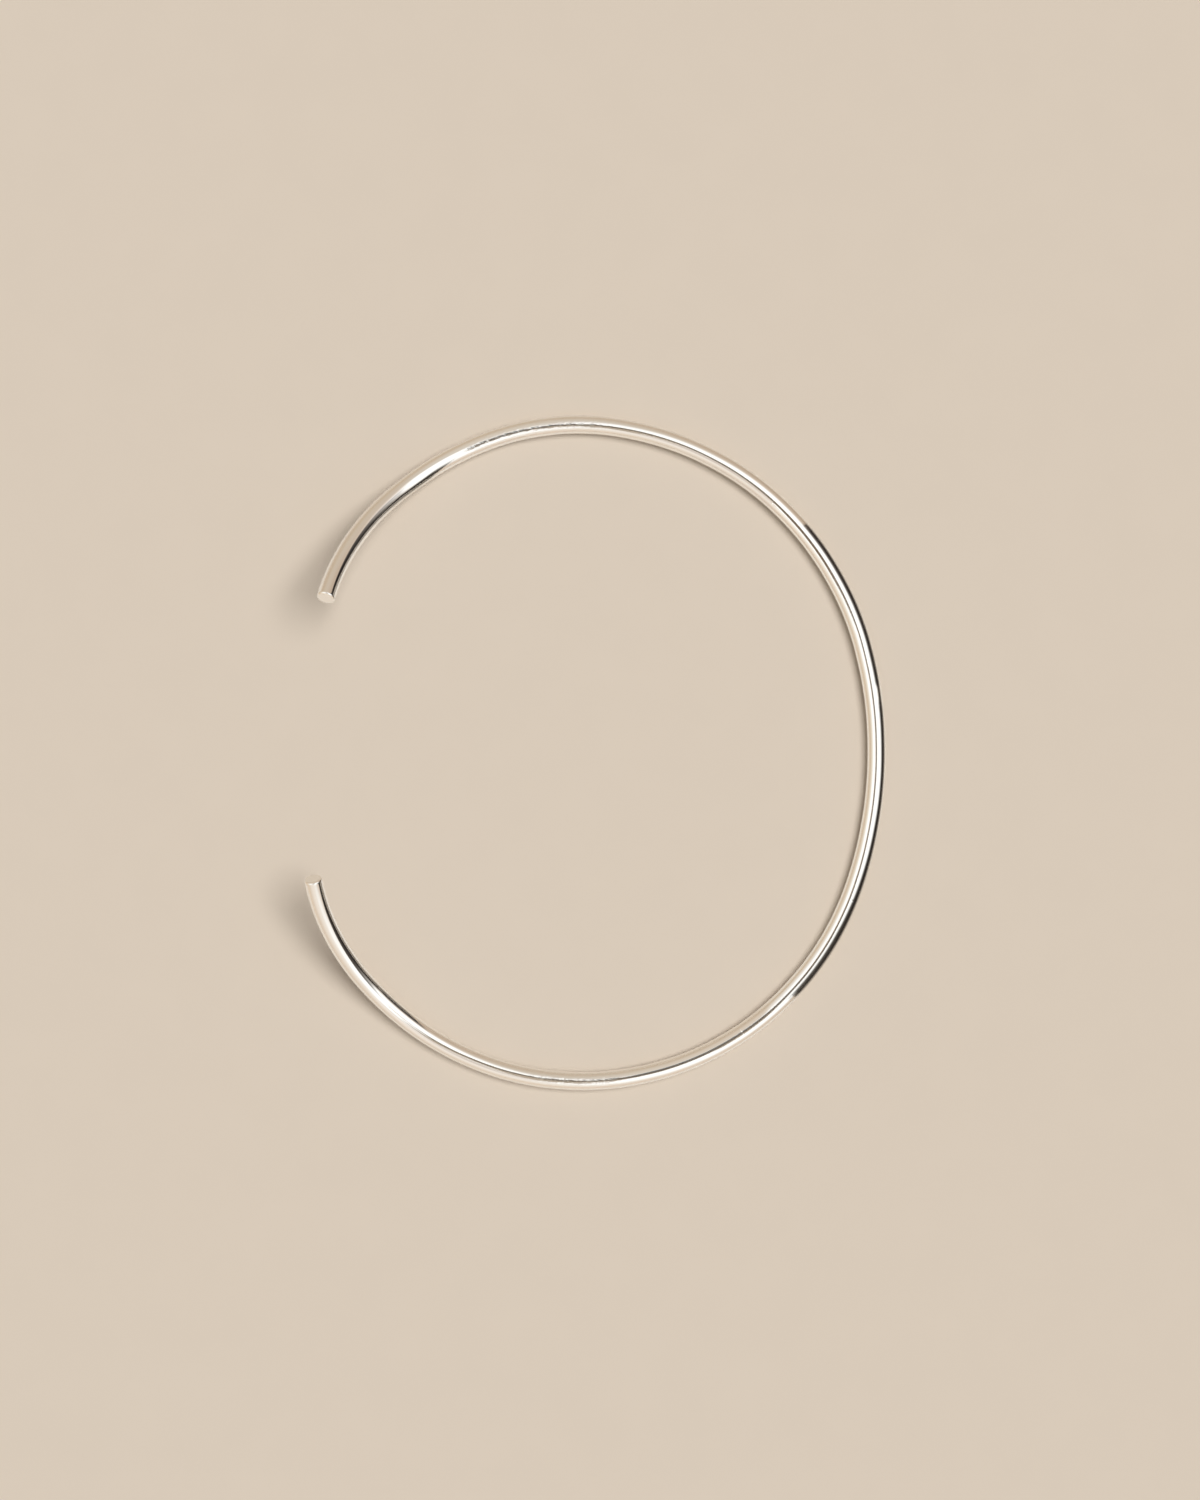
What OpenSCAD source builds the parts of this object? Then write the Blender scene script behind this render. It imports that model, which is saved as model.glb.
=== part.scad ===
// Neck cuff: one length of round silver wire, bent to an open oval that lies flat,
// with both cut ends rising off the surface. Millimetres, +Z up. The closed throat is at -Y,
// the opening at +Y, and the wearer's left end at +X. All bend radii run to the wire's middle.

/* [Wire] */
// Diameter of the round wire
wire_d = 4; // [3:0.1:5]
// Straight stretch at the end of each arm
end_straight = 1; // [0.5:0.5:4]
// Width of the broken edge around each square-cut end
end_bevel = 0.25; // [0.1:0.05:0.5]

/* [Throat] */
// Radius of the wide bend across the throat
throat_radius = 89.5; // [84:0.5:94]
// Turn of the throat bend from the lowest point to the left, in degrees
left_throat_turn = 14; // [10:0.5:20]
// Turn of the throat bend from the lowest point to the right, in degrees
right_throat_turn = 21; // [18:0.5:26]

/* [Sides of the neck] */
// Radius of the bend at the left side
left_side_radius = 65.5; // [61:0.5:69]
// Turn of the left side bend
left_side_turn = 67.5; // [64:0.5:71]
// Radius of the tighter bend that follows it on the left
left_back_radius = 57.5; // [54:0.5:62]
// Turn of the tighter bend, up to where the wire leaves the surface
left_back_turn = 27.5; // [24:0.5:30]
// Radius of the bend at the right side
right_side_radius = 62.6; // [59:0.1:66]
// Turn of the right side bend, up to where the wire leaves the surface
right_side_turn = 93; // [89:0.5:96]

/* [Rising ends] */
// Radius of the slow bend that starts to lift each end
lift_radius = 52; // [48:0.5:56]
// Lean of the slow bend out of the flat
lift_lean = 30; // [26:1:34]
// Turn of the slow bend on the left
left_lift_turn = 16.5; // [14:0.5:19]
// Turn of the slow bend on the right
right_lift_turn = 24.5; // [22:0.5:27]
// Radius of the quick bend that follows
steep_radius = 30; // [27:0.5:34]
// Lean of the quick bend out of the flat
steep_lean = 67; // [62:1:72]
// Turn of the quick bend on the left
left_steep_turn = 18; // [14:0.5:20]
// Turn of the quick bend on the right
right_steep_turn = 11.5; // [9:0.5:14]
// Radius of the bend that runs on to each cut end
tip_radius = 57.5; // [54:0.5:61]
// Lean of the bend at each cut end
tip_lean = 23.5; // [18:0.5:28]
// Turn of the bend at the left cut end
left_tip_turn = 30; // [26:0.5:33]
// Turn of the bend at the right cut end
right_tip_turn = 27.5; // [24:0.5:31]

/* [Smoothness] */
// Sides around the wire
wire_sides = 28; // [16:4:32]
// Largest turn between two rings of the wire, in degrees
ring_turn = 2.5; // [2.5:0.5:6]

/* [Hidden] */
wire_r = wire_d / 2;

// A row for each bend of an arm, from the middle of the throat to the cut end.
RADIUS = 0;
TURN = 1;
LEAN = 2;
left_bends = [
    [throat_radius, left_throat_turn, 0],
    [left_side_radius, left_side_turn, 0],
    [left_back_radius, left_back_turn, 0],
    [lift_radius, left_lift_turn, lift_lean],
    [steep_radius, left_steep_turn, steep_lean],
    [tip_radius, left_tip_turn, tip_lean],
];
right_bends = [
    [throat_radius, right_throat_turn, 0],
    [right_side_radius, right_side_turn, 0],
    [lift_radius, right_lift_turn, lift_lean],
    [steep_radius, right_steep_turn, steep_lean],
    [tip_radius, right_tip_turn, tip_lean],
];

// A station on the wire's middle: its place, the way the wire runs, the side that faces
// the neck, and the side that faces up.
PLACE = 0;
ALONG = 1;
INWARD = 2;
UP = 3;
left_start = [[0, 0, 0], [1, 0, 0], [0, 1, 0], [0, 0, 1]];
right_start = [[0, 0, 0], [-1, 0, 0], [0, 1, 0], [0, 0, 1]];

// The station that a bend reaches after a given turn from its start.
function bent(start, bend, turn) =
    let (
        towards = cos(bend[LEAN]) * start[INWARD] + sin(bend[LEAN]) * start[UP],
        axis = cos(bend[LEAN]) * start[UP] - sin(bend[LEAN]) * start[INWARD],
        along = cos(turn) * start[ALONG] + sin(turn) * towards,
        facing = cos(turn) * towards - sin(turn) * start[ALONG]
    )
    [
        start[PLACE] + bend[RADIUS] * (towards - facing),
        along,
        cos(bend[LEAN]) * facing - sin(bend[LEAN]) * axis,
        sin(bend[LEAN]) * facing + cos(bend[LEAN]) * axis,
    ];

function ahead(start, distance) =
    [start[PLACE] + distance * start[ALONG], start[ALONG], start[INWARD], start[UP]];

// The stations of all the bends that follow a start, without the start itself.
function stations(start, bends, row = 0) =
    row == len(bends) ? [] :
    let (bend = bends[row], steps = ceil(bend[TURN] / ring_turn))
    concat(
        [for (step = [1:steps]) bent(start, bend, bend[TURN] * step / steps)],
        stations(bent(start, bend, bend[TURN]), bends, row + 1)
    );

function last(list) = list[len(list) - 1];
function reversed(list) = [for (i = [len(list) - 1:-1:0]) list[i]];

// The ring of points around the wire at a station.
function ring(station, radius) = [
    for (k = [0:wire_sides - 1])
        let (angle = 360 * k / wire_sides)
        station[PLACE] + radius * (cos(angle) * station[INWARD] + sin(angle) * station[UP])
];

// The rings of one arm, with the straight end and its broken edge.
function arm_rings(start, bends) =
    let (path = stations(start, bends), cut = ahead(last(path), end_straight))
    concat(
        [for (station = path) ring(station, wire_r)],
        [ring(cut, wire_r), ring(ahead(cut, end_bevel), wire_r - end_bevel)]
    );

rings = concat(
    reversed(arm_rings(right_start, right_bends)),
    [ring(left_start, wire_r)],
    arm_rings(left_start, left_bends)
);
points = [for (r = rings) for (p = r) p];

// Halfway between the lowest and the highest of the points' values along one axis.
function middle(axis) =
    (min([for (p = points) p[axis]]) + max([for (p = points) p[axis]])) / 2;

module collar_wire() {
    n = wire_sides;
    end = len(points) - n;
    walls = [
        for (r = [0:len(rings) - 2])
            for (k = [0:n - 1])
                [r * n + k, r * n + (k + 1) % n, (r + 1) * n + (k + 1) % n, (r + 1) * n + k]
    ];
    caps = [[for (k = [n - 1:-1:0]) k], [for (k = [0:n - 1]) end + k]];
    color("silver")
        translate([-middle(0), -middle(1), wire_r])
            polyhedron(points = points, faces = concat(walls, caps), convexity = 4);
}

collar_wire();
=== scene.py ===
# A neck cuff bent from one length of round silver wire, lying on a pale studio floor.
# Metres, +Z up. The closed throat is at -Y, the opening at +Y, the wearer's left at +X.
import math
import random

import bpy
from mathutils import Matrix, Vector


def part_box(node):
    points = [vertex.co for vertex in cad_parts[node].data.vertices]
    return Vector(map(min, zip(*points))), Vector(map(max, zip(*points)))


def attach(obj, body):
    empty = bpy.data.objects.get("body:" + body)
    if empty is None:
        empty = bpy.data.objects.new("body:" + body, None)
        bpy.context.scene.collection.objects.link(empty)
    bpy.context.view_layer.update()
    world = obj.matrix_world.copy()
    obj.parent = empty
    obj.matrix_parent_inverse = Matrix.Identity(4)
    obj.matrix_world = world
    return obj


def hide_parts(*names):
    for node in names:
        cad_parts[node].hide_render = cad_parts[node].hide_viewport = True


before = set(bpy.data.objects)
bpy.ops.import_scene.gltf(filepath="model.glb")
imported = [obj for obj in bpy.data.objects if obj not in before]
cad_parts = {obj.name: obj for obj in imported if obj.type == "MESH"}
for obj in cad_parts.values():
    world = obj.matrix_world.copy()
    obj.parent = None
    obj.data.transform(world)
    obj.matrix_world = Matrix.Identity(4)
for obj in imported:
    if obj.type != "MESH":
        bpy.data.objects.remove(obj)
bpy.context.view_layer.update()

print("Packed model loaded:", ", ".join(sorted(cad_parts)))


def linear(hexColour):  # sRGB hex to the linear values that the shaders work in
    parts = [int(hexColour[i:i + 2], 16) / 255 for i in (0, 2, 4)]
    return tuple(c / 12.92 if c <= 0.04045 else ((c + 0.055) / 1.055) ** 2.4 for c in parts)


def addNode(tree, kind, settings=None, links=None):
    # settings sets a node's own choices by name and its sockets by name or number; links joins
    # a socket to another node's output. A colour mix has its two colours in sockets 6 and 7
    # and its result in output 2
    node = tree.nodes.new(kind)
    for key, value in (settings or {}).items():
        if isinstance(key, str) and hasattr(node, key):
            setattr(node, key, value)
        else:
            node.inputs[key].default_value = value
    for key, output in (links or {}).items():
        tree.links.new(output, node.inputs[key])
    return node


def newMaterial(name):
    material = bpy.data.materials.new(name)
    material.use_nodes = True
    material.node_tree.nodes.clear()
    return material, material.node_tree


# Cuff wire: the bends are the real ones, from the middle of the throat to each cut end.
# A place on the wire is counted from the throat's middle, with left as plus.
cuffWire = {
    "node": "collar_wire",
    "slot": "polished_silver",
    "diameter": 0.004,
    # rows of [radius, turn, lean out of the flat]
    "leftBends": [[0.0895, 14, 0], [0.0655, 67.5, 0], [0.0575, 27.5, 0], [0.052, 16.5, 30],
                  [0.030, 18, 67], [0.0575, 30, 23.5]],
    "rightBends": [[0.0895, 21, 0], [0.0626, 93, 0], [0.052, 24.5, 30], [0.030, 11.5, 67],
                   [0.0575, 27.5, 23.5]],
    "endStraight": 0.00085,  # straight stretch before each cut
    "brokenEdge": 0.0004,  # the file takes this much off the rim of each cut
    "edgeSteps": 6,
    "faceRings": 5,
    "sides": 80,
    "ringGap": 0.00038,
    # hand bending leaves slow waves: [length of a wave, height of a wave]
    "waves": [[0.047, 0.00003], [0.019, 0.00001], [0.0095, 0.000004]],
    # nicks across the wire: [place, degrees round from the inner side, reach round the wire
    # in degrees, depth]
    "nicks": [
        [0.127, 70, 25, 0.000014], [0.120, 100, 30, 0.000012], [0.060, 65, 20, 0.000014],
        [-0.034, 120, 14, 0.000016], [-0.072, 60, 25, 0.000014], [-0.104, 110, 28, 0.000012],
        [-0.113, 75, 24, 0.000014],
    ],
    "nickWidth": 0.0001,
    "nickFade": 4,  # a nick is gone at this many times its width or reach
    "nickRings": 3,  # extra rings on each side of a nick, a nick's width apart
    "seed": 41,
}


def bent(start, bend, turn):  # the station that a bend reaches after a turn in degrees
    place, along, inward, up = start
    radius, lean, angle = bend[0], math.radians(bend[2]), math.radians(turn)
    towards = inward * math.cos(lean) + up * math.sin(lean)
    axis = up * math.cos(lean) - inward * math.sin(lean)
    facing = towards * math.cos(angle) - along * math.sin(angle)
    return (
        place + (towards - facing) * radius,
        along * math.cos(angle) + towards * math.sin(angle),
        facing * math.cos(lean) - axis * math.sin(lean),
        facing * math.sin(lean) + axis * math.cos(lean),
    )


def ahead(start, distance):
    place, along, inward, up = start
    return (place + along * distance, along, inward, up)


def armStations(start, bends, settings, extraPlaces):
    # stations along one arm with their distance from the throat's middle
    found, run = [], 0.0
    gap, straight = settings["ringGap"], settings["endStraight"]
    for bend in bends:
        radius, turn, lean = bend
        length = radius * math.radians(turn)
        steps = math.ceil(length / gap)
        marks = [length * step / steps for step in range(1, steps + 1)]
        marks += [place - run for place in extraPlaces if run < place < run + length]
        for mark in sorted(marks):
            found.append((run + mark, bent(start, bend, turn * mark / length)))
        run, start = run + length, found[-1][1]
    steps = math.ceil(straight / gap)
    for step in range(1, steps + 1):
        distance = straight * step / steps
        found.append((run + distance, ahead(start, distance)))
    return found


def wireStations(settings):
    # one row of stations from the right end to the left end, all looking the same way
    middle, inward, up = Vector((0, 0, 0)), Vector((0, 1, 0)), Vector((0, 0, 1))
    leftStart = (middle, Vector((1, 0, 0)), inward, up)
    rightStart = (middle, Vector((-1, 0, 0)), inward, up)
    beside = range(-settings["nickRings"], settings["nickRings"] + 1)
    close = [nick[0] + settings["nickWidth"] * step
             for nick in settings["nicks"] for step in beside]
    left = armStations(leftStart, settings["leftBends"], settings, close)
    right = armStations(rightStart, settings["rightBends"], settings, [-place for place in close])
    turnedRound = [(-distance, (place, -along, inwardSide, upSide))
                   for distance, (place, along, inwardSide, upSide) in reversed(right)]
    return turnedRound + [(0.0, leftStart)] + left


def waveHeight(waves, phases, distance):
    return sum(
        height * math.sin(2 * math.pi * distance / length + phase)
        for (length, height), phase in zip(waves, phases)
    )


def wavyRings(line, settings):
    # a ring at each station: distance along, middle, side facing inward, side facing up, radius
    waves = settings["waves"]
    chance = random.Random(settings["seed"])
    sidePhases = [chance.uniform(0, 2 * math.pi) for wave in waves]
    upPhases = [chance.uniform(0, 2 * math.pi) for wave in waves]
    rings = []
    for distance, (place, along, inwardSide, upSide) in line:
        place = place + inwardSide * waveHeight(waves, sidePhases, distance)
        place = place + upSide * waveHeight(waves, upPhases, distance)
        rings.append((distance, place, inwardSide, upSide, settings["diameter"] / 2))
    return rings


def endRings(ring, outward, sign, settings):  # the broken edge, then the flat cut face
    distance, place, inwardSide, upSide, full = ring
    edge, edgeSteps, faceRings = settings["brokenEdge"], settings["edgeSteps"], settings["faceRings"]
    found = []
    for step in range(1, edgeSteps + 1):
        angle = math.pi / 2 * step / edgeSteps
        forward = edge * math.sin(angle)
        found.append((distance + sign * forward, place + outward * forward, inwardSide, upSide,
                      full - edge + edge * math.cos(angle)))
    for step in range(1, faceRings):
        found.append((distance + sign * edge, place + outward * edge, inwardSide, upSide,
                      (full - edge) * (1 - step / faceRings)))
    return found


def nickDepth(settings, distance, angle):  # how far the nicks go in at a point of the surface
    depth = 0.0
    for place, middle, reach, deepest in settings["nicks"]:
        away = (distance - place) / settings["nickWidth"]
        aside = (math.degrees(angle) - middle) / reach
        if max(abs(away), abs(aside)) < settings["nickFade"]:
            depth += deepest * math.exp(-(away ** 2 + aside ** 2) / 2)
    return depth


def buildCuffWire(settings):
    line = wireStations(settings)
    rings = wavyRings(line, settings)
    rightCap = endRings(rings[0], -line[0][1][1], -1, settings)
    leftCap = endRings(rings[-1], line[-1][1][1], 1, settings)
    rings = rightCap[::-1] + rings + leftCap

    sides = settings["sides"]
    points, drawn = [], []  # drawn is where each point lay on the wire before it was bent
    for distance, place, inwardSide, upSide, size in rings:
        for side in range(sides):
            angle = 2 * math.pi * side / sides
            reach = size - nickDepth(settings, distance, angle)
            points.append(place + (inwardSide * math.cos(angle) + upSide * math.sin(angle)) * reach)
            drawn.append((distance, size * math.cos(angle), size * math.sin(angle)))

    lastRing = (len(rings) - 1) * sides
    faces = []
    for first in range(0, lastRing, sides):
        second = first + sides
        for side in range(sides):
            after = (side + 1) % sides
            faces.append((first + side, first + after, second + after, second + side))
    # each cut face closes on a middle point
    for ring, base, order in ((rings[0], 0, -1), (rings[-1], lastRing, 1)):
        centre = len(points)
        points.append(ring[1])
        drawn.append((ring[0], 0, 0))
        for side in range(sides):
            rim = (base + side, base + (side + 1) % sides)
            faces.append((centre, *rim[::order]))

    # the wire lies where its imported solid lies, with the same low corner
    lowest = Vector([min(point[axis] for point in points) for axis in range(3)])
    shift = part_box(settings["node"])[0] - lowest
    mesh = bpy.data.meshes.new("cuffWire")
    mesh.from_pydata([tuple(point + shift) for point in points], [], faces)
    mesh.validate()
    for polygon in mesh.polygons:
        polygon.use_smooth = True
    store = mesh.attributes.new("drawnWire", "FLOAT_VECTOR", "POINT")
    store.data.foreach_set("vector", [value for point in drawn for value in point])
    wire = bpy.data.objects.new("cuff_wire", mesh)
    bpy.context.scene.collection.objects.link(wire)
    print("Cuff wire:", len(mesh.polygons), "faces,", round(line[-1][0] - line[0][0], 4), "m long")
    return wire


silverFinish = {
    "tone": "faf8f3",
    "polished": 0.045, "dulled": 0.13,  # roughness between the hairlines and on them
    "hairShows": [0.35, 0.75],  # how strong the noise is where a hairline starts and is full
    # hairlines across the wire, drawn coarse to show: spacing, length, depth
    "hairGap": 0.0005, "hairReach": 0.004, "hairDepth": 0.0000006,
    # stretches scuffed along the wire: [place of the middle, half the length]
    "scuffs": [[0.117, 0.021], [-0.110, 0.013]],
    # their streaks: length, spacing, depth
    "streakReach": 0.0013, "streakGap": 0.00045, "streakDepth": 0.00005,
}


def polishedSterling(settings):
    # Sterling silver wire, drawn, bent and polished on a felt wheel: a near mirror with a
    # faintly warm white, broken by hairlines that the wheel leaves across the wire, and by
    # streaks along it where the bending pegs rubbed, which fray the edges of what it mirrors
    material, tree = newMaterial("polished sterling silver")
    place = addNode(tree, "ShaderNodeAttribute", {"attribute_name": "drawnWire"}).outputs["Vector"]

    def marks(along, across, detail, roughness):  # a pattern of marks of this size on the wire
        scaled = addNode(tree, "ShaderNodeVectorMath", {"operation": "MULTIPLY",
                         1: (1 / along, 1 / across, 1 / across)}, {0: place})
        return addNode(tree, "ShaderNodeTexNoise",
                       {"Scale": 1.0, "Detail": detail, "Roughness": roughness},
                       {"Vector": scaled.outputs["Vector"]}).outputs["Fac"]

    hair = marks(settings["hairGap"], settings["hairReach"], detail=3.0, roughness=0.6)
    starts, full = settings["hairShows"]
    dull = addNode(tree, "ShaderNodeMapRange", {"From Min": starts, "From Max": full,
                   "To Min": settings["polished"], "To Max": settings["dulled"]}, {"Value": hair})
    worn = addNode(tree, "ShaderNodeBump", {"Strength": 1.0, "Distance": settings["hairDepth"]},
                   {"Height": hair})

    streak = marks(settings["streakReach"], settings["streakGap"], detail=2.0, roughness=0.7)
    fromThroat = addNode(tree, "ShaderNodeSeparateXYZ", {}, {0: place}).outputs["X"]
    for middle, half in settings["scuffs"]:
        away = addNode(tree, "ShaderNodeMath", {"operation": "SUBTRACT", 1: middle},
                       {0: fromThroat})
        far = addNode(tree, "ShaderNodeMath", {"operation": "ABSOLUTE"}, {0: away.outputs[0]})
        near = addNode(tree, "ShaderNodeMapRange", {"interpolation_type": "SMOOTHSTEP",
                       "From Min": half, "From Max": half / 2}, {"Value": far.outputs[0]})
        depth = addNode(tree, "ShaderNodeMath", {"operation": "MULTIPLY"},
                        {0: streak, 1: near.outputs["Result"]})
        worn = addNode(tree, "ShaderNodeBump",
                       {"Strength": 1.0, "Distance": settings["streakDepth"]},
                       {"Height": depth.outputs[0], "Normal": worn.outputs["Normal"]})

    shader = addNode(tree, "ShaderNodeBsdfPrincipled",
                     {"Base Color": (*linear(settings["tone"]), 1), "Metallic": 1.0},
                     {"Roughness": dull.outputs["Result"], "Normal": worn.outputs["Normal"]})
    addNode(tree, "ShaderNodeOutputMaterial", {}, {"Surface": shader.outputs["BSDF"]})
    return material


wirePiece = buildCuffWire(cuffWire)
wirePiece.data.materials.append(polishedSterling(silverFinish))
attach(wirePiece, "root")
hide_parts(cuffWire["node"])


# Studio: everything from here on is there to light the cuff and to be mirrored in it. Azimuths
# are in degrees round from the throat (-Y) towards the wearer's left (+X).

def directionOf(azimuth, height):  # a unit vector from the object
    turn, rise = math.radians(azimuth), math.radians(height)
    return Vector((math.sin(turn) * math.cos(rise), -math.cos(turn) * math.cos(rise),
                   math.sin(rise)))


def addWalls(tree, place, fall, settings):
    # how far the walls cover what is over them, and their tone, towards a place that is given
    # as X, Y and Z and as an angle down from overhead
    rows = settings["rows"]
    first, last = rows[0][0], rows[-1][0]
    throatward = addNode(tree, "ShaderNodeMath", {"operation": "MULTIPLY", 1: -1.0},
                         {0: place.outputs["Y"]})
    azimuth = addNode(tree, "ShaderNodeMath", {"operation": "ARCTAN2"},
                      {0: place.outputs["X"], 1: throatward.outputs[0]})
    around = addNode(tree, "ShaderNodeMapRange", {"From Min": math.radians(first),
                     "From Max": math.radians(last)}, {"Value": azimuth.outputs[0]})

    def blended(toColour):  # the rows' colours, each running into the next
        ramp = addNode(tree, "ShaderNodeValToRGB", {}, {"Fac": around.outputs["Result"]})
        stops = ramp.color_ramp
        while len(stops.elements) > 1:
            stops.elements.remove(stops.elements[-1])
        for number, row in enumerate(rows):
            position = (row[0] - first) / (last - first)
            stop = stops.elements[0] if number == 0 else stops.elements.new(position)
            stop.position = position
            stop.color = (*toColour(row), 1)
        return ramp.outputs["Color"]

    down = addNode(tree, "ShaderNodeMath", {"operation": "DEGREES"}, {0: fall}).outputs[0]
    horizon = 90  # degrees down from overhead
    edge = addNode(tree, "ShaderNodeMath", {"operation": "MULTIPLY", 1: horizon},
                   {0: blended(lambda row: (row[1] / horizon,) * 3)}).outputs[0]
    start = addNode(tree, "ShaderNodeMath", {"operation": "SUBTRACT", 1: settings["fade"]},
                    {0: edge})
    whole = addNode(tree, "ShaderNodeMath", {"operation": "ADD", 1: settings["fade"]}, {0: edge})
    cover = addNode(tree, "ShaderNodeMapRange", {"interpolation_type": "SMOOTHSTEP"},
                    {"Value": down, "From Min": start.outputs[0], "From Max": whole.outputs[0]})

    high, middle, low = settings["heights"]
    toMiddle = addNode(tree, "ShaderNodeMapRange", {"From Min": high, "From Max": middle},
                       {"Value": down})
    toFoot = addNode(tree, "ShaderNodeMapRange", {"From Min": middle, "From Max": low},
                     {"Value": down})
    highUp, eyeLevel, foot = (blended(lambda row: linear(row[column])) for column in (2, 3, 4))
    upper = addNode(tree, "ShaderNodeMix", {"data_type": "RGBA"},
                    {"Factor": toMiddle.outputs["Result"], 6: highUp, 7: eyeLevel})
    tone = addNode(tree, "ShaderNodeMix", {"data_type": "RGBA"},
                   {"Factor": toFoot.outputs["Result"], 6: upper.outputs[2], 7: foot})
    return cover.outputs["Result"], tone.outputs[2]


# Room: a white ceiling over pale walls
studioRoom = {
    "ceiling": "ffffff", "ceilingStrength": 1.15,
    # walls: [azimuth, degrees down from overhead to where the ceiling ends, colour high up,
    # colour at eye level, colour at the floor]
    "rows": [
        [-180, 51, "f4ecdf", "f4ecdf", "d4c0a8"], [-160, 44, "f2e8dc", "faf4e8", "dac6b0"],
        [-150, 41, "f0e6da", "fdf6ec", "decab4"], [-134.5, 43, "f0e6da", "fff8ee", "e0ccb6"],
        [-134, 12, "ccbcae", "f6eee6", "deccba"], [-112, 16, "c4b8ac", "f8efe7", "e2d2c0"],
        [-90, 44, "dcd4cc", "f8f2ea", "e2d0be"], [-75, 53, "e8e0d8", "f6f0ea", "e0cebc"],
        [-60, 58, "f4eee8", "f4eee8", "deccba"], [-47, 60, "ece4dc", "ece4dc", "d2c0ae"],
        [0, 66, "ece4dc", "ece4dc", "d2c0ae"], [41.5, 48, "d4c2b2", "d4c2b2", "b4a08c"],
        [60, 43, "d8ccc0", "d0c0b0", "bca894"], [72, 36, "d6ccc2", "d1c3b4", "c1ae9a"],
        [90, 22, "d4ccc4", "d2c6b8", "c6b4a0"], [100, 14, "dad2c8", "d6cabc", "c6b49f"],
        [131, 16, "dcd0c4", "dccebe", "c6b29c"], [132.5, 37, "ece8e2", "ece8e2", "ccb8a0"],
        [142, 42, "eee8e2", "eee8e2", "cebaa2"], [160, 46, "f1eae0", "f1eae0", "d1bda5"],
        [180, 51, "f4ecdf", "f4ecdf", "d4c0a8"],
    ],
    "heights": [20, 50, 85],  # where those three colours sit, in degrees down from overhead
    "fade": 15,  # half the width of the soft edge between a wall and what is over it, in degrees
    "diffuseShare": 0.33,  # the room lights matt things by this much of what the metal mirrors
    "backdrop": "e6dccf",
}


def buildRoomLight(settings):
    world = bpy.data.worlds.new("studio room")
    bpy.context.scene.world = world
    world.use_nodes = True
    tree = world.node_tree
    tree.nodes.clear()
    direction = addNode(tree, "ShaderNodeTexCoord")
    parts = addNode(tree, "ShaderNodeSeparateXYZ", {}, {0: direction.outputs["Generated"]})
    fall = addNode(tree, "ShaderNodeMath", {"operation": "ARCCOSINE"}, {0: parts.outputs["Z"]})
    cover, tone = addWalls(tree, parts, fall.outputs[0], settings)
    white = [c * settings["ceilingStrength"] for c in linear(settings["ceiling"])]
    room = addNode(tree, "ShaderNodeMix", {"data_type": "RGBA", 6: (*white, 1)},
                   {"Factor": cover, 7: tone})
    ray = addNode(tree, "ShaderNodeLightPath")
    share = addNode(tree, "ShaderNodeMapRange", {"To Min": settings["diffuseShare"], "To Max": 1.0},
                    {"Value": ray.outputs["Is Glossy Ray"]})
    light = addNode(tree, "ShaderNodeBackground", {},
                    {"Color": room.outputs[2], "Strength": share.outputs["Result"]})
    backdrop = addNode(tree, "ShaderNodeBackground", {"Color": (*linear(settings["backdrop"]), 1)})
    seen = addNode(tree, "ShaderNodeMixShader", {}, {0: ray.outputs["Is Camera Ray"],
                   1: light.outputs[0], 2: backdrop.outputs[0]})
    addNode(tree, "ShaderNodeOutputWorld", {}, {"Surface": seen.outputs[0]})


# Dark card: a sheet that glows with painted dark tones, a painted reflection that only the metal
# mirrors. It bends round the same middle as the throat, so that the throat sees it evenly, and
# stands further off towards its left edge
darkCard = {
    "middle": [0.0, 0.0285],
    "throatRadius": 0.0895,
    "radius": 0.245,
    "openFrom": 20, "openRadius": 0.40,  # past this azimuth it swings out to this radius
    "height": 0.75,
    "sides": 40,
    # as the room's walls, but what is over the card is clear; the colours are painted tones that the
    # card glows with, the light rows a painted highlight
    "rows": [
        [-41.6, 32, "645e58", "554f49", "38342f"], [-29, 31, "5c5650", "4c4640", "2c2825"],
        [-19, 45, "5a5450", "504a46", "282422"], [-7, 56, "5e5854", "544e4a", "282422"],
        [6, 54, "746e6a", "6a6460", "2a2624"], [6.6, 64, "e0d8d0", "d0c8c0", "38322e"],
        [8.4, 64, "e0d8d0", "d0c8c0", "38322e"], [9, 50, "746e6a", "645e5a", "282422"],
        [38.7, 46, "706a66", "645e5a", "302a28"],
    ],
    "heights": [20, 50, 76],
    "fade": 15,
}


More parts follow.
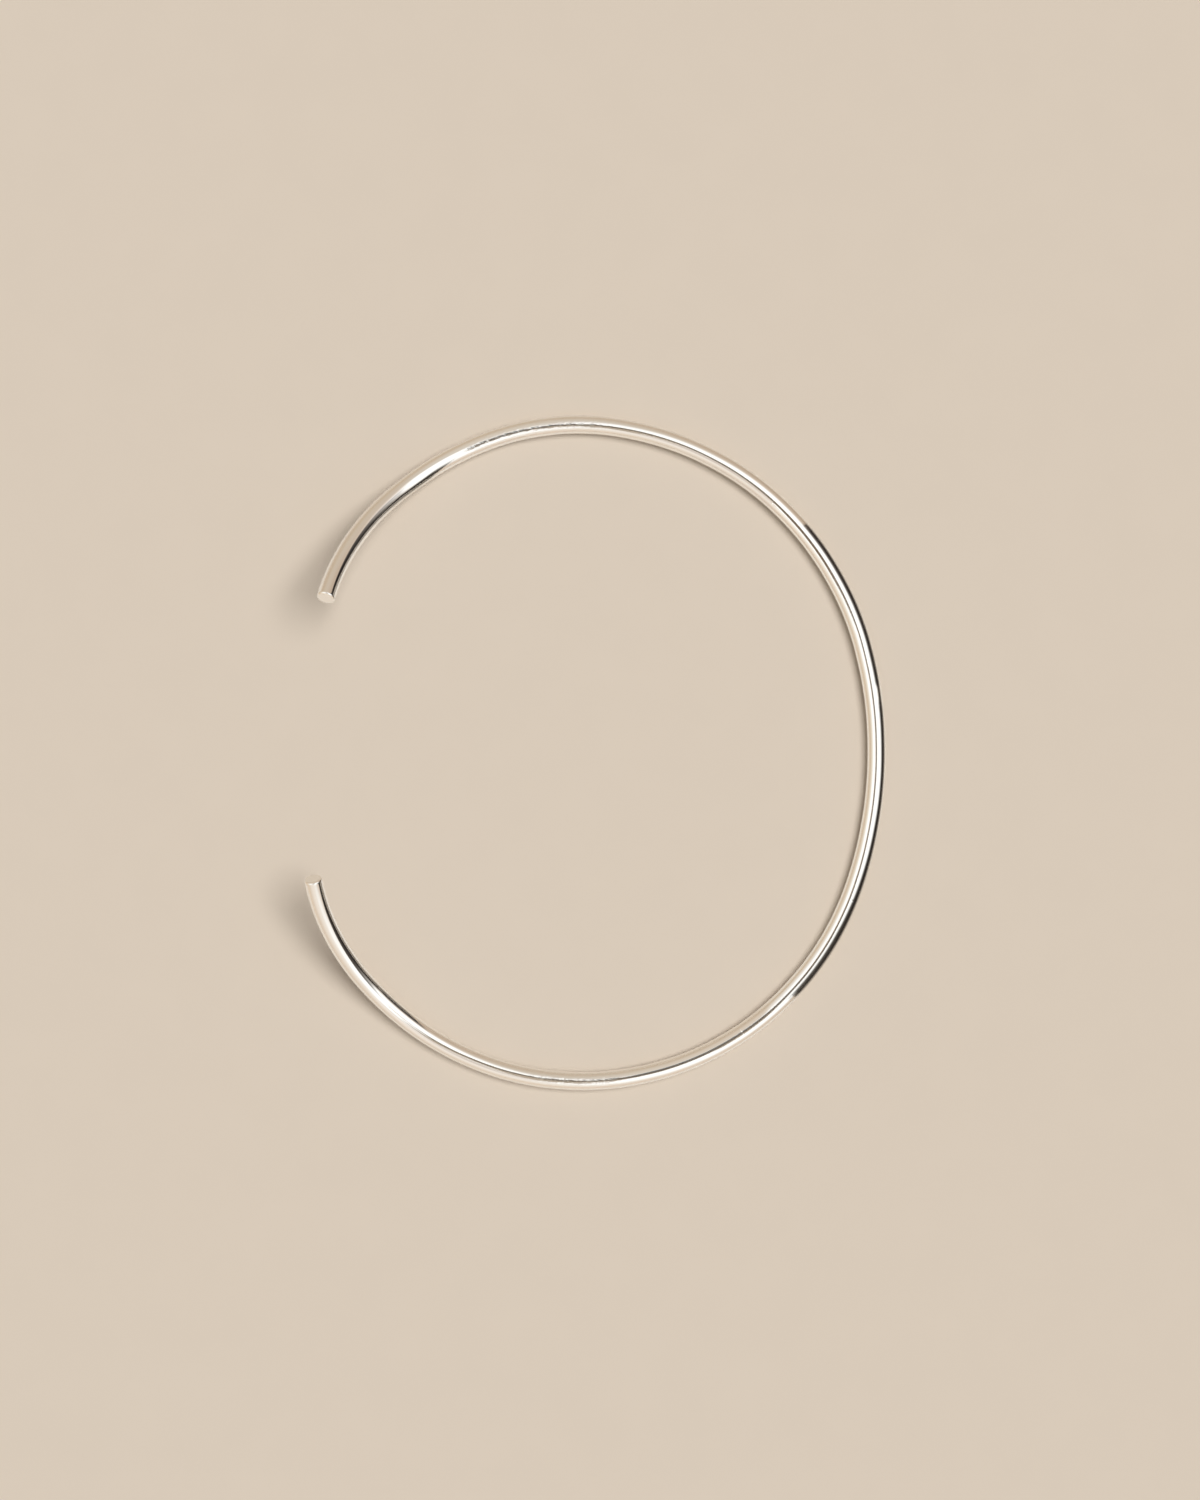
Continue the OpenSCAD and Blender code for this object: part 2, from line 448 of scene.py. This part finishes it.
def graduatedCard(settings):
    # Card glowing with painted dark tones at its foot and fading to clear at its top, a painted
    # reflection: in the metal it is the dark band beside the throat's bright one
    material, tree = newMaterial("glowing dark card")
    geometry = addNode(tree, "ShaderNodeNewGeometry")
    fromMiddle = addNode(tree, "ShaderNodeVectorMath",
                         {"operation": "SUBTRACT", 1: (*settings["middle"], 0)},
                         {0: geometry.outputs["Position"]})
    parts = addNode(tree, "ShaderNodeSeparateXYZ", {}, {0: fromMiddle.outputs["Vector"]})
    # the angle down is the one from the throat's wire, which lies round the same middle
    level = addNode(tree, "ShaderNodeVectorMath", {"operation": "MULTIPLY", 1: (1, 1, 0)},
                    {0: fromMiddle.outputs["Vector"]})
    out = addNode(tree, "ShaderNodeVectorMath", {"operation": "LENGTH"},
                  {0: level.outputs["Vector"]})
    gap = addNode(tree, "ShaderNodeMath", {"operation": "SUBTRACT", 1: settings["throatRadius"]},
                  {0: out.outputs["Value"]})
    fall = addNode(tree, "ShaderNodeMath", {"operation": "ARCTAN2"},
                   {0: gap.outputs[0], 1: parts.outputs["Z"]})
    cover, tone = addWalls(tree, parts, fall.outputs[0], settings)
    # the painted tones glow: the card gives off its own light and is not lit
    dark = addNode(tree, "ShaderNodeEmission", {}, {"Color": tone})
    clear = addNode(tree, "ShaderNodeBsdfTransparent")
    shader = addNode(tree, "ShaderNodeMixShader", {},
                     {0: cover, 1: clear.outputs[0], 2: dark.outputs[0]})
    addNode(tree, "ShaderNodeOutputMaterial", {}, {"Surface": shader.outputs[0]})
    return material


def buildDarkCard(settings):
    first, last = settings["rows"][0][0], settings["rows"][-1][0]
    middle = Vector((*settings["middle"], 0))
    points = []
    for side in range(settings["sides"] + 1):
        azimuth = first + (last - first) * side / settings["sides"]
        opening = max(0, (azimuth - settings["openFrom"]) / (last - settings["openFrom"]))
        radius = settings["radius"] + (settings["openRadius"] - settings["radius"]) * opening
        foot = middle + directionOf(azimuth, 0) * radius
        points += [tuple(foot), tuple(foot + Vector((0, 0, settings["height"])))]
    faces = [(k, k + 2, k + 3, k + 1) for k in range(0, 2 * settings["sides"], 2)]
    mesh = bpy.data.meshes.new("dark card")
    mesh.from_pydata(points, [], faces)
    mesh.materials.append(graduatedCard(settings))
    card = bpy.data.objects.new("dark card", mesh)
    # it is there for the metal alone: it throws no shadow and stays out of the picture
    card.visible_camera = card.visible_diffuse = card.visible_shadow = False
    bpy.context.scene.collection.objects.link(card)


# Key lamp: azimuth, height and width in degrees; the wider it is, the softer the shadows
keyLamp = {"azimuth": 22, "height": 70, "width": 33, "strength": 2.2}


def buildKeyLamp(settings):
    lamp = bpy.data.lights.new("key", "SUN")
    lamp.energy = settings["strength"]
    lamp.angle = math.radians(settings["width"])
    key = bpy.data.objects.new("key", lamp)
    key.rotation_mode = "QUATERNION"
    towards = directionOf(settings["azimuth"], settings["height"])
    key.rotation_quaternion = towards.to_track_quat("Z", "Y")
    key.visible_glossy = False  # the metal mirrors the ceiling that the lamp shines through
    bpy.context.scene.collection.objects.link(key)


floorBoard = {
    "radius": 5.0,
    "sides": 96,
    "tone": "dccfbf",
    "mottleSize": 0.012, "mottle": 0.015,  # the roller's mottle and how far it lightens or darkens
    "mirroredRoughness": 0.15,
}


def paintedBoard(settings):
    # Matt paint on a board: a pale warm tone with a barely visible roller mottle and no gloss.
    # Only in the metal's mirror does it take on, at low angles, the tone of what is behind it
    material, tree = newMaterial("matt painted board")
    place = addNode(tree, "ShaderNodeTexCoord")
    mottle = addNode(tree, "ShaderNodeTexNoise",
                     {"Scale": 1 / settings["mottleSize"], "Detail": 4.0},
                     {"Vector": place.outputs["Object"]})
    darker, lighter = ([c * (1 + change) for c in linear(settings["tone"])]
                       for change in (-settings["mottle"], settings["mottle"]))
    tone = addNode(tree, "ShaderNodeMix",
                   {"data_type": "RGBA", 6: (*darker, 1), 7: (*lighter, 1)},
                   {"Factor": mottle.outputs["Fac"]})
    matt = addNode(tree, "ShaderNodeBsdfDiffuse", {}, {"Color": tone.outputs[2]})
    sheen = addNode(tree, "ShaderNodeBsdfGlossy",
                    {"Color": (1, 1, 1, 1), "Roughness": settings["mirroredRoughness"]})
    lowness = addNode(tree, "ShaderNodeLayerWeight", {"Blend": 0.5})
    ray = addNode(tree, "ShaderNodeLightPath")
    share = addNode(tree, "ShaderNodeMath", {"operation": "MULTIPLY"},
                    {0: lowness.outputs["Facing"], 1: ray.outputs["Is Glossy Ray"]})
    shader = addNode(tree, "ShaderNodeMixShader", {},
                     {0: share.outputs[0], 1: matt.outputs[0], 2: sheen.outputs[0]})
    addNode(tree, "ShaderNodeOutputMaterial", {}, {"Surface": shader.outputs[0]})
    return material


def buildFloor(settings):
    rim = [tuple(directionOf(360 * side / settings["sides"], 0) * settings["radius"])
           for side in range(settings["sides"])]
    mesh = bpy.data.meshes.new("floor")
    mesh.from_pydata(rim, [], [tuple(range(settings["sides"]))])
    mesh.materials.append(paintedBoard(settings))
    floor = bpy.data.objects.new("floor", mesh)
    bpy.context.scene.collection.objects.link(floor)


# Camera rig: the camera's plate, and then the arms that hold it
cameraRig = {
    # [azimuth, starts at, ends at, width, height, colour]
    "planes": [
        [-65, -0.08, 0.21, 0.13, 0.785, "86827e"],
        [117, 0.02, 0.26, 0.11, 0.90, "8c9aac"],
        [-149, 0.05, 0.42, 0.12, 0.90, "8a7a6e"],
        [-97, 0.06, 0.54, 0.14, 0.90, "d8d4d0"],
        [-58, 0.06, 0.42, 0.07, 0.90, "ccc8c4"],
        [172, 0.08, 0.22, 0.12, 0.90, "e6e2de"],
    ],
    "roughness": 0.6,
}


def powderCoatedAluminium(colour, roughness):
    # Powder-coated aluminium: an even matt tone
    material, tree = newMaterial("powder-coated aluminium")
    shader = addNode(tree, "ShaderNodeBsdfPrincipled",
                     {"Base Color": (*linear(colour), 1), "Roughness": roughness})
    addNode(tree, "ShaderNodeOutputMaterial", {}, {"Surface": shader.outputs["BSDF"]})
    return material


def buildRig(settings):
    for azimuth, start, stop, width, height, colour in settings["planes"]:
        outward = directionOf(azimuth, 0)
        aside = Vector((-outward.y, outward.x, 0)) * width / 2
        lift = Vector((0, 0, height))
        corners = [outward * start - aside, outward * start + aside, outward * stop + aside,
                   outward * stop - aside]
        mesh = bpy.data.meshes.new("rig")
        mesh.from_pydata([tuple(corner + lift) for corner in corners], [], [(0, 1, 2, 3)])
        mesh.materials.append(powderCoatedAluminium(colour, settings["roughness"]))
        arm = bpy.data.objects.new("rig", mesh)
        # the metal mirrors it along its crest, and it throws no shadow on the floor
        arm.visible_diffuse = arm.visible_shadow = False
        bpy.context.scene.collection.objects.link(arm)


buildRoomLight(studioRoom)
buildDarkCard(darkCard)
buildKeyLamp(keyLamp)
buildFloor(floorBoard)
buildRig(cameraRig)
print("Studio: room light, dark card, key lamp, floor and camera rig are up")

# Camera: straight overhead, as in the photograph, with the throat at the picture's right
camera = {
    "x": 0.00059, "y": -0.00061, "height": 0.770, "turn": -90.65,
    "lens": 84.33, "sensor": 36.0,
    "clipStart": 0.01, "clipEnd": 20.0,
}


def buildCamera(settings):
    data = bpy.data.cameras.new("camera")
    data.lens = settings["lens"]
    data.sensor_width = settings["sensor"]
    data.clip_start = settings["clipStart"]
    data.clip_end = settings["clipEnd"]
    eye = bpy.data.objects.new("camera", data)
    eye.location = (settings["x"], settings["y"], settings["height"])
    eye.rotation_euler = (0, 0, math.radians(settings["turn"]))
    bpy.context.scene.collection.objects.link(eye)
    bpy.context.scene.camera = eye


buildCamera(camera)
bpy.context.scene.view_settings.view_transform = "Standard"
print("Camera: overhead at", camera["height"], "m")
